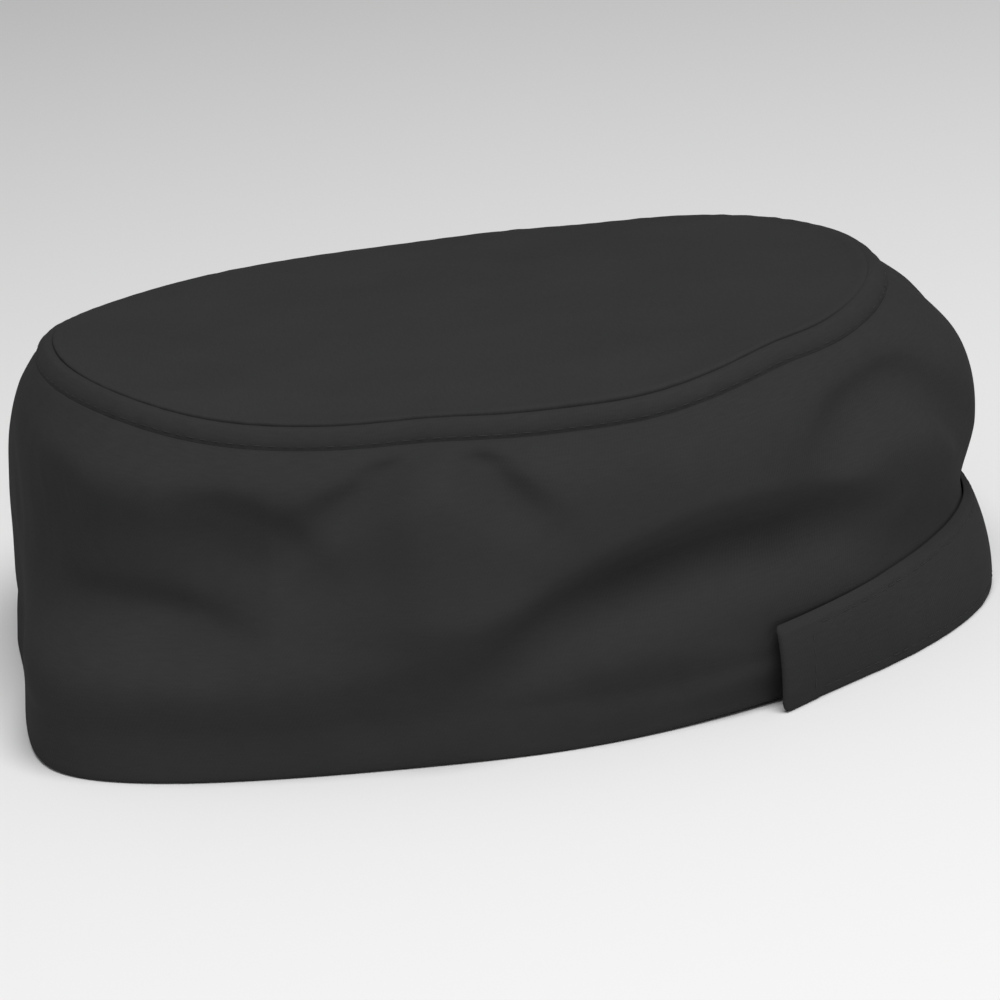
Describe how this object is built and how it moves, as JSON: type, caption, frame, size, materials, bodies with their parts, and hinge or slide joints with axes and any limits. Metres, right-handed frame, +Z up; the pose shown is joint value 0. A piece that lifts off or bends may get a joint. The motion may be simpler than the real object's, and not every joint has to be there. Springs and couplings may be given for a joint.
{
  "type": "chef skull cap",
  "caption": "Low brimless cook's cap of black cotton twill: flat oval crown, narrow topstitched welt, soft folded wall with a turned hem, and an adjusting strap round the back.",
  "frame": {"origin": "middle of the cap's outline from above, on the surface that its rim stands on", "axes": "+X is the side of the strap's free end, -Y the front of the cap, +Y the back with the strap, +Z up"},
  "size_m": [0.1718, 0.204, 0.0719],
  "materials": {
    "black_twill": "matt cotton twill"
  },
  "bodies": {
    "root": {"crown_top": "black_twill", "crown_welt": "black_twill", "side_wall": "black_twill", "back_strap": "black_twill"}
  },
  "joints": []
}
